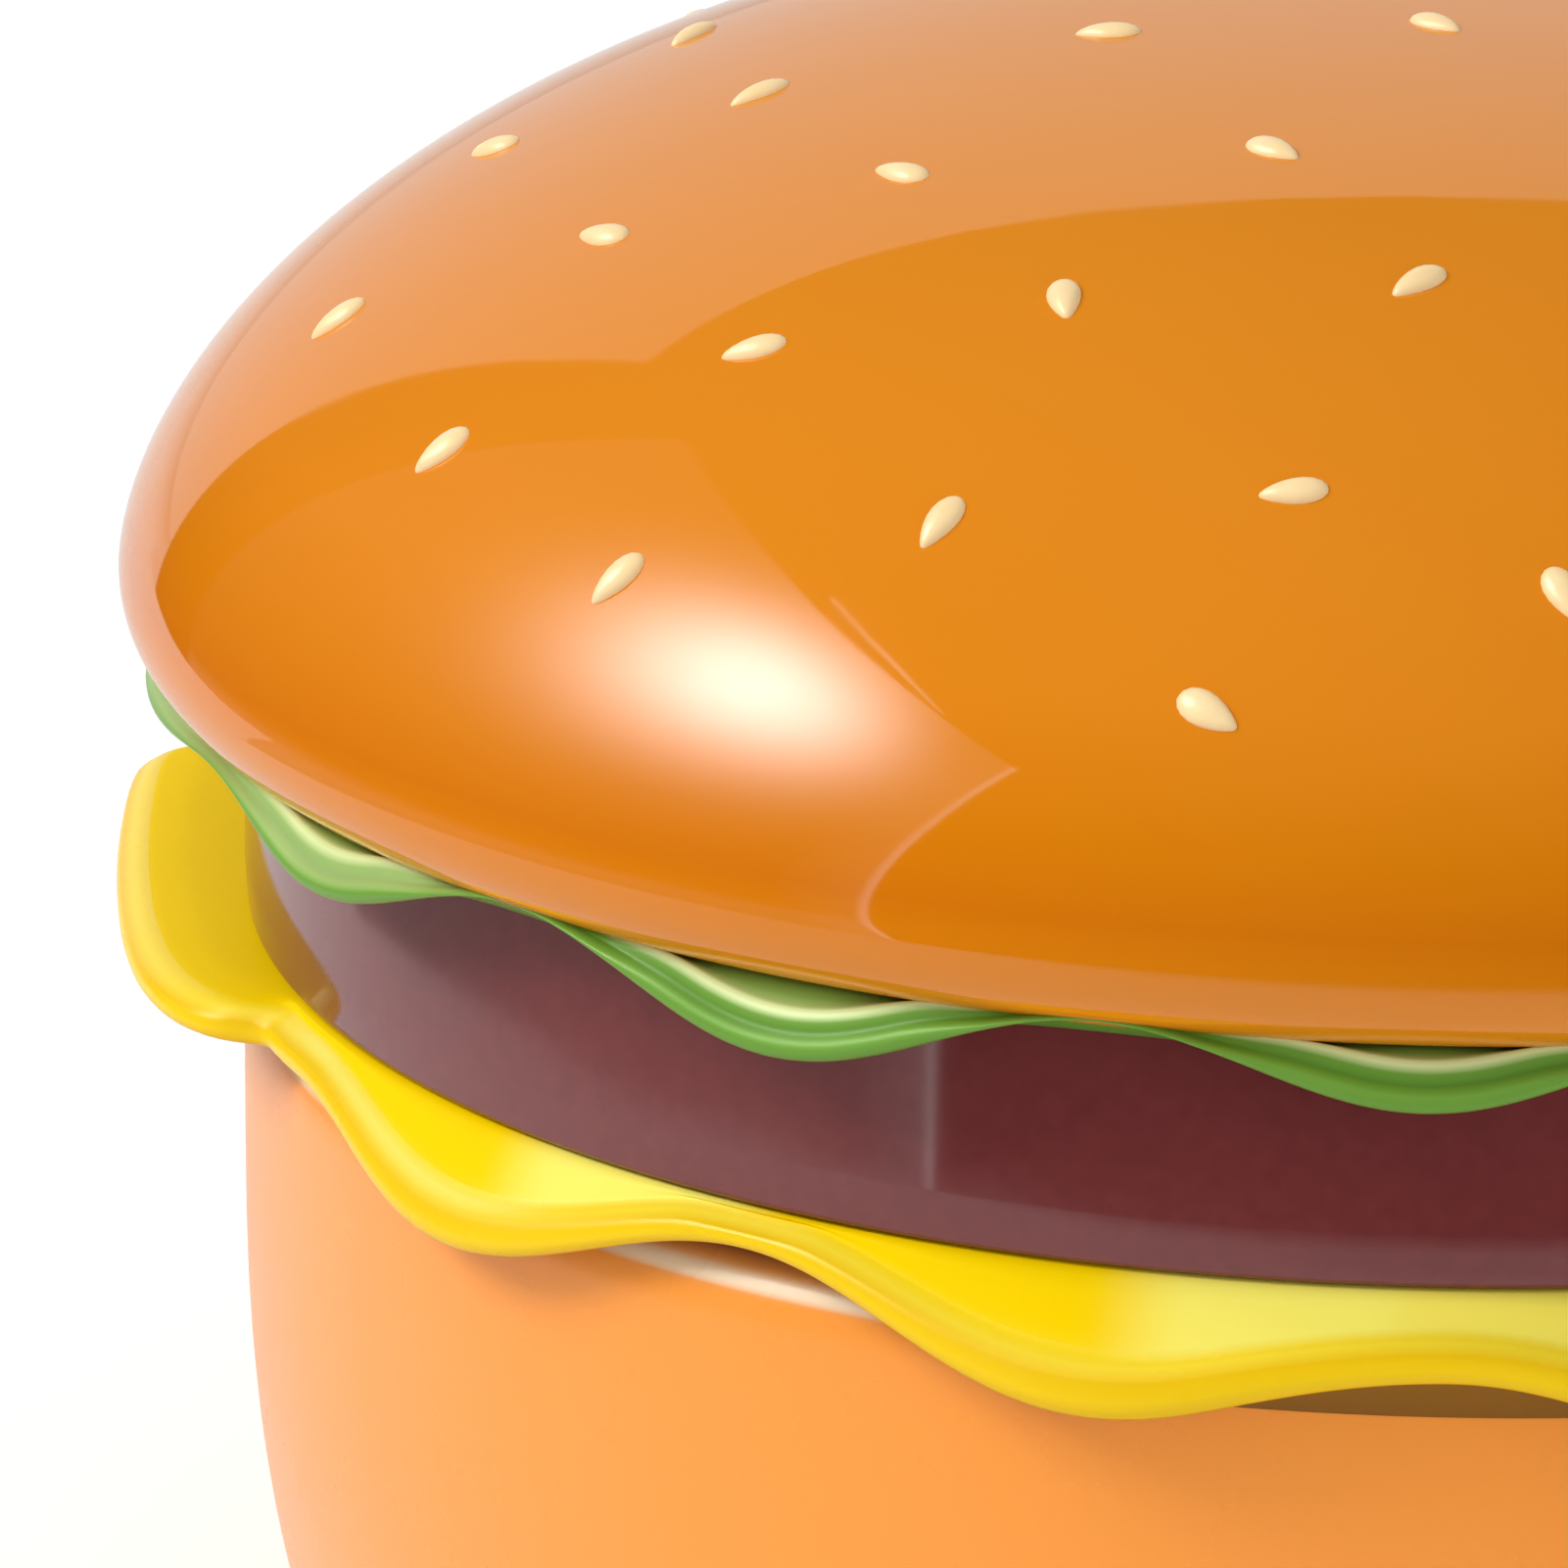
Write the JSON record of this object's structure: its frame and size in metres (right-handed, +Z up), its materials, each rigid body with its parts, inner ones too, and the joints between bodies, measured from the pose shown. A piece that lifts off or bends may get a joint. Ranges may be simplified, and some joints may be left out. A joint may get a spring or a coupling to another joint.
{
  "type": "novelty telephone",
  "caption": "Hamburger-shaped desk telephone: a seeded bun, lettuce and patty lid hinged like a clam over a cheese-rimmed base with a push-button keypad.",
  "frame": {"origin": "on the table under the middle of the phone", "axes": "+Z up, -X towards the cheese finger tab where the lid opens, +X towards the hinge, +Y towards the line socket"},
  "size_m": [0.14, 0.14, 0.0986],
  "materials": {
    "bun_orange": "glossy moulded ABS",
    "seed_cream": "glossy moulded ABS",
    "lettuce_green": "glossy moulded ABS",
    "patty_brown": "satin moulded ABS with an uneven skin",
    "cheese_yellow": "glossy moulded ABS",
    "bun_peach": "soft gloss moulded ABS",
    "key_ivory": "semi-gloss moulded ABS with printed figures",
    "key_red": "semi-gloss moulded ABS",
    "black_plastic": "fine matt",
    "black_rubber": "matt",
    "grey_silicone": "matt silicone",
    "board_green": "solder mask over glass laminate",
    "screw_steel": "zinc plated",
    "bright_steel": "ground",
    "magnet_grey": "nickel plated magnet",
    "capsule_aluminium": "drawn",
    "gold_contact": "bright",
    "cone_film": "polyester film"
  },
  "bodies": {
    "base": {"cheese_rim": "cheese_yellow", "keypad_plate": "cheese_yellow", "hinge_block": "cheese_yellow", "bottom_bun": "bun_peach", "hook_switch": "black_plastic", "line_jack": "black_plastic", "ringer_cup": "black_plastic", "main_chips": "black_plastic", "rubber_feet": "black_rubber", "mic_boot": "black_rubber", "keypad_mat": "grey_silicone", "keypad_board": "board_green", "main_board": "board_green", "board_screws": "screw_steel", "main_board_screws": "screw_steel", "case_screws": "screw_steel", "deck_screws": "screw_steel", "hinge_screws": "screw_steel", "hinge_pin": "bright_steel", "hook_spring": "bright_steel", "ringer_switch": "bright_steel", "tone_switch": "bright_steel", "mic_capsule": "capsule_aluminium", "jack_contacts": "gold_contact", "piezo_disc": "gold_contact", "keypad_ribbon": "cone_film"},
    "lid": {"top_bun": "bun_orange", "sesame_seeds": "seed_cream", "lettuce_frill": "lettuce_green", "patty_ring": "patty_brown", "earpiece_plate": "patty_brown", "receiver_gasket": "black_rubber", "receiver_diaphragm": "cone_film", "receiver_frame": "bright_steel", "receiver_magnet": "magnet_grey", "receiver_retainer": "black_plastic", "retainer_screws": "screw_steel", "lid_screws": "screw_steel", "hinge_arm": "patty_brown", "arm_screws": "screw_steel"},
    "hook_plunger": {"hook_plunger": "black_plastic"},
    "ringer_knob": {"ringer_knob": "key_ivory"},
    "tone_knob": {"tone_knob": "key_ivory"},
    "key_1": {"key_1": "key_ivory"},
    "key_2": {"key_2": "key_ivory"},
    "key_3": {"key_3": "key_ivory"},
    "key_4": {"key_4": "key_ivory"},
    "key_5": {"key_5": "key_ivory"},
    "key_6": {"key_6": "key_ivory"},
    "key_7": {"key_7": "key_ivory"},
    "key_8": {"key_8": "key_ivory"},
    "key_9": {"key_9": "key_ivory"},
    "key_star": {"key_star": "key_ivory"},
    "key_0": {"key_0": "key_ivory"},
    "key_hash": {"key_hash": "key_ivory"},
    "key_mute": {"key_mute": "key_red"},
    "key_flash": {"key_flash": "key_red"},
    "key_redial": {"key_redial": "key_red"}
  },
  "joints": [
    {"name": "lid_hinge", "type": "hinge", "parent": "base", "child": "lid", "pos_m": [0.0672, 0, 0.0497], "axis": [0, 1, 0], "range_deg": [0, 140]},
    {"name": "hook_travel", "type": "slide", "parent": "base", "child": "hook_plunger", "axis": [0, 0, 1], "range_m": [0, 0.0025], "deforming": ["hook_spring"]},
    {"name": "ringer_slide", "type": "slide", "parent": "base", "child": "ringer_knob", "axis": [1, 0, 0], "range_m": [0, 0.003]},
    {"name": "tone_slide", "type": "slide", "parent": "base", "child": "tone_knob", "axis": [1, 0, 0], "range_m": [0, 0.003]},
    {"name": "key_1_press", "type": "slide", "parent": "base", "child": "key_1", "axis": [0, 0, 1], "range_m": [-0.0012, 0], "stiffness_N_per_m": 250, "springref_m": 0.0002},
    {"name": "key_2_press", "type": "slide", "parent": "base", "child": "key_2", "axis": [0, 0, 1], "range_m": [-0.0012, 0], "stiffness_N_per_m": 250, "springref_m": 0.0002},
    {"name": "key_3_press", "type": "slide", "parent": "base", "child": "key_3", "axis": [0, 0, 1], "range_m": [-0.0012, 0], "stiffness_N_per_m": 250, "springref_m": 0.0002},
    {"name": "key_4_press", "type": "slide", "parent": "base", "child": "key_4", "axis": [0, 0, 1], "range_m": [-0.0012, 0], "stiffness_N_per_m": 250, "springref_m": 0.0002},
    {"name": "key_5_press", "type": "slide", "parent": "base", "child": "key_5", "axis": [0, 0, 1], "range_m": [-0.0012, 0], "stiffness_N_per_m": 250, "springref_m": 0.0002},
    {"name": "key_6_press", "type": "slide", "parent": "base", "child": "key_6", "axis": [0, 0, 1], "range_m": [-0.0012, 0], "stiffness_N_per_m": 250, "springref_m": 0.0002},
    {"name": "key_7_press", "type": "slide", "parent": "base", "child": "key_7", "axis": [0, 0, 1], "range_m": [-0.0012, 0], "stiffness_N_per_m": 250, "springref_m": 0.0002},
    {"name": "key_8_press", "type": "slide", "parent": "base", "child": "key_8", "axis": [0, 0, 1], "range_m": [-0.0012, 0], "stiffness_N_per_m": 250, "springref_m": 0.0002},
    {"name": "key_9_press", "type": "slide", "parent": "base", "child": "key_9", "axis": [0, 0, 1], "range_m": [-0.0012, 0], "stiffness_N_per_m": 250, "springref_m": 0.0002},
    {"name": "key_star_press", "type": "slide", "parent": "base", "child": "key_star", "axis": [0, 0, 1], "range_m": [-0.0012, 0], "stiffness_N_per_m": 250, "springref_m": 0.0002},
    {"name": "key_0_press", "type": "slide", "parent": "base", "child": "key_0", "axis": [0, 0, 1], "range_m": [-0.0012, 0], "stiffness_N_per_m": 250, "springref_m": 0.0002},
    {"name": "key_hash_press", "type": "slide", "parent": "base", "child": "key_hash", "axis": [0, 0, 1], "range_m": [-0.0012, 0], "stiffness_N_per_m": 250, "springref_m": 0.0002},
    {"name": "key_mute_press", "type": "slide", "parent": "base", "child": "key_mute", "axis": [0, 0, 1], "range_m": [-0.0012, 0], "stiffness_N_per_m": 250, "springref_m": 0.0002},
    {"name": "key_flash_press", "type": "slide", "parent": "base", "child": "key_flash", "axis": [0, 0, 1], "range_m": [-0.0012, 0], "stiffness_N_per_m": 250, "springref_m": 0.0002},
    {"name": "key_redial_press", "type": "slide", "parent": "base", "child": "key_redial", "axis": [0, 0, 1], "range_m": [-0.0012, 0], "stiffness_N_per_m": 250, "springref_m": 0.0002}
  ],
  "couplings": [
    {"joint": "hook_travel", "follows": "lid_hinge", "m_per_rad": 0.0010221}
  ]
}
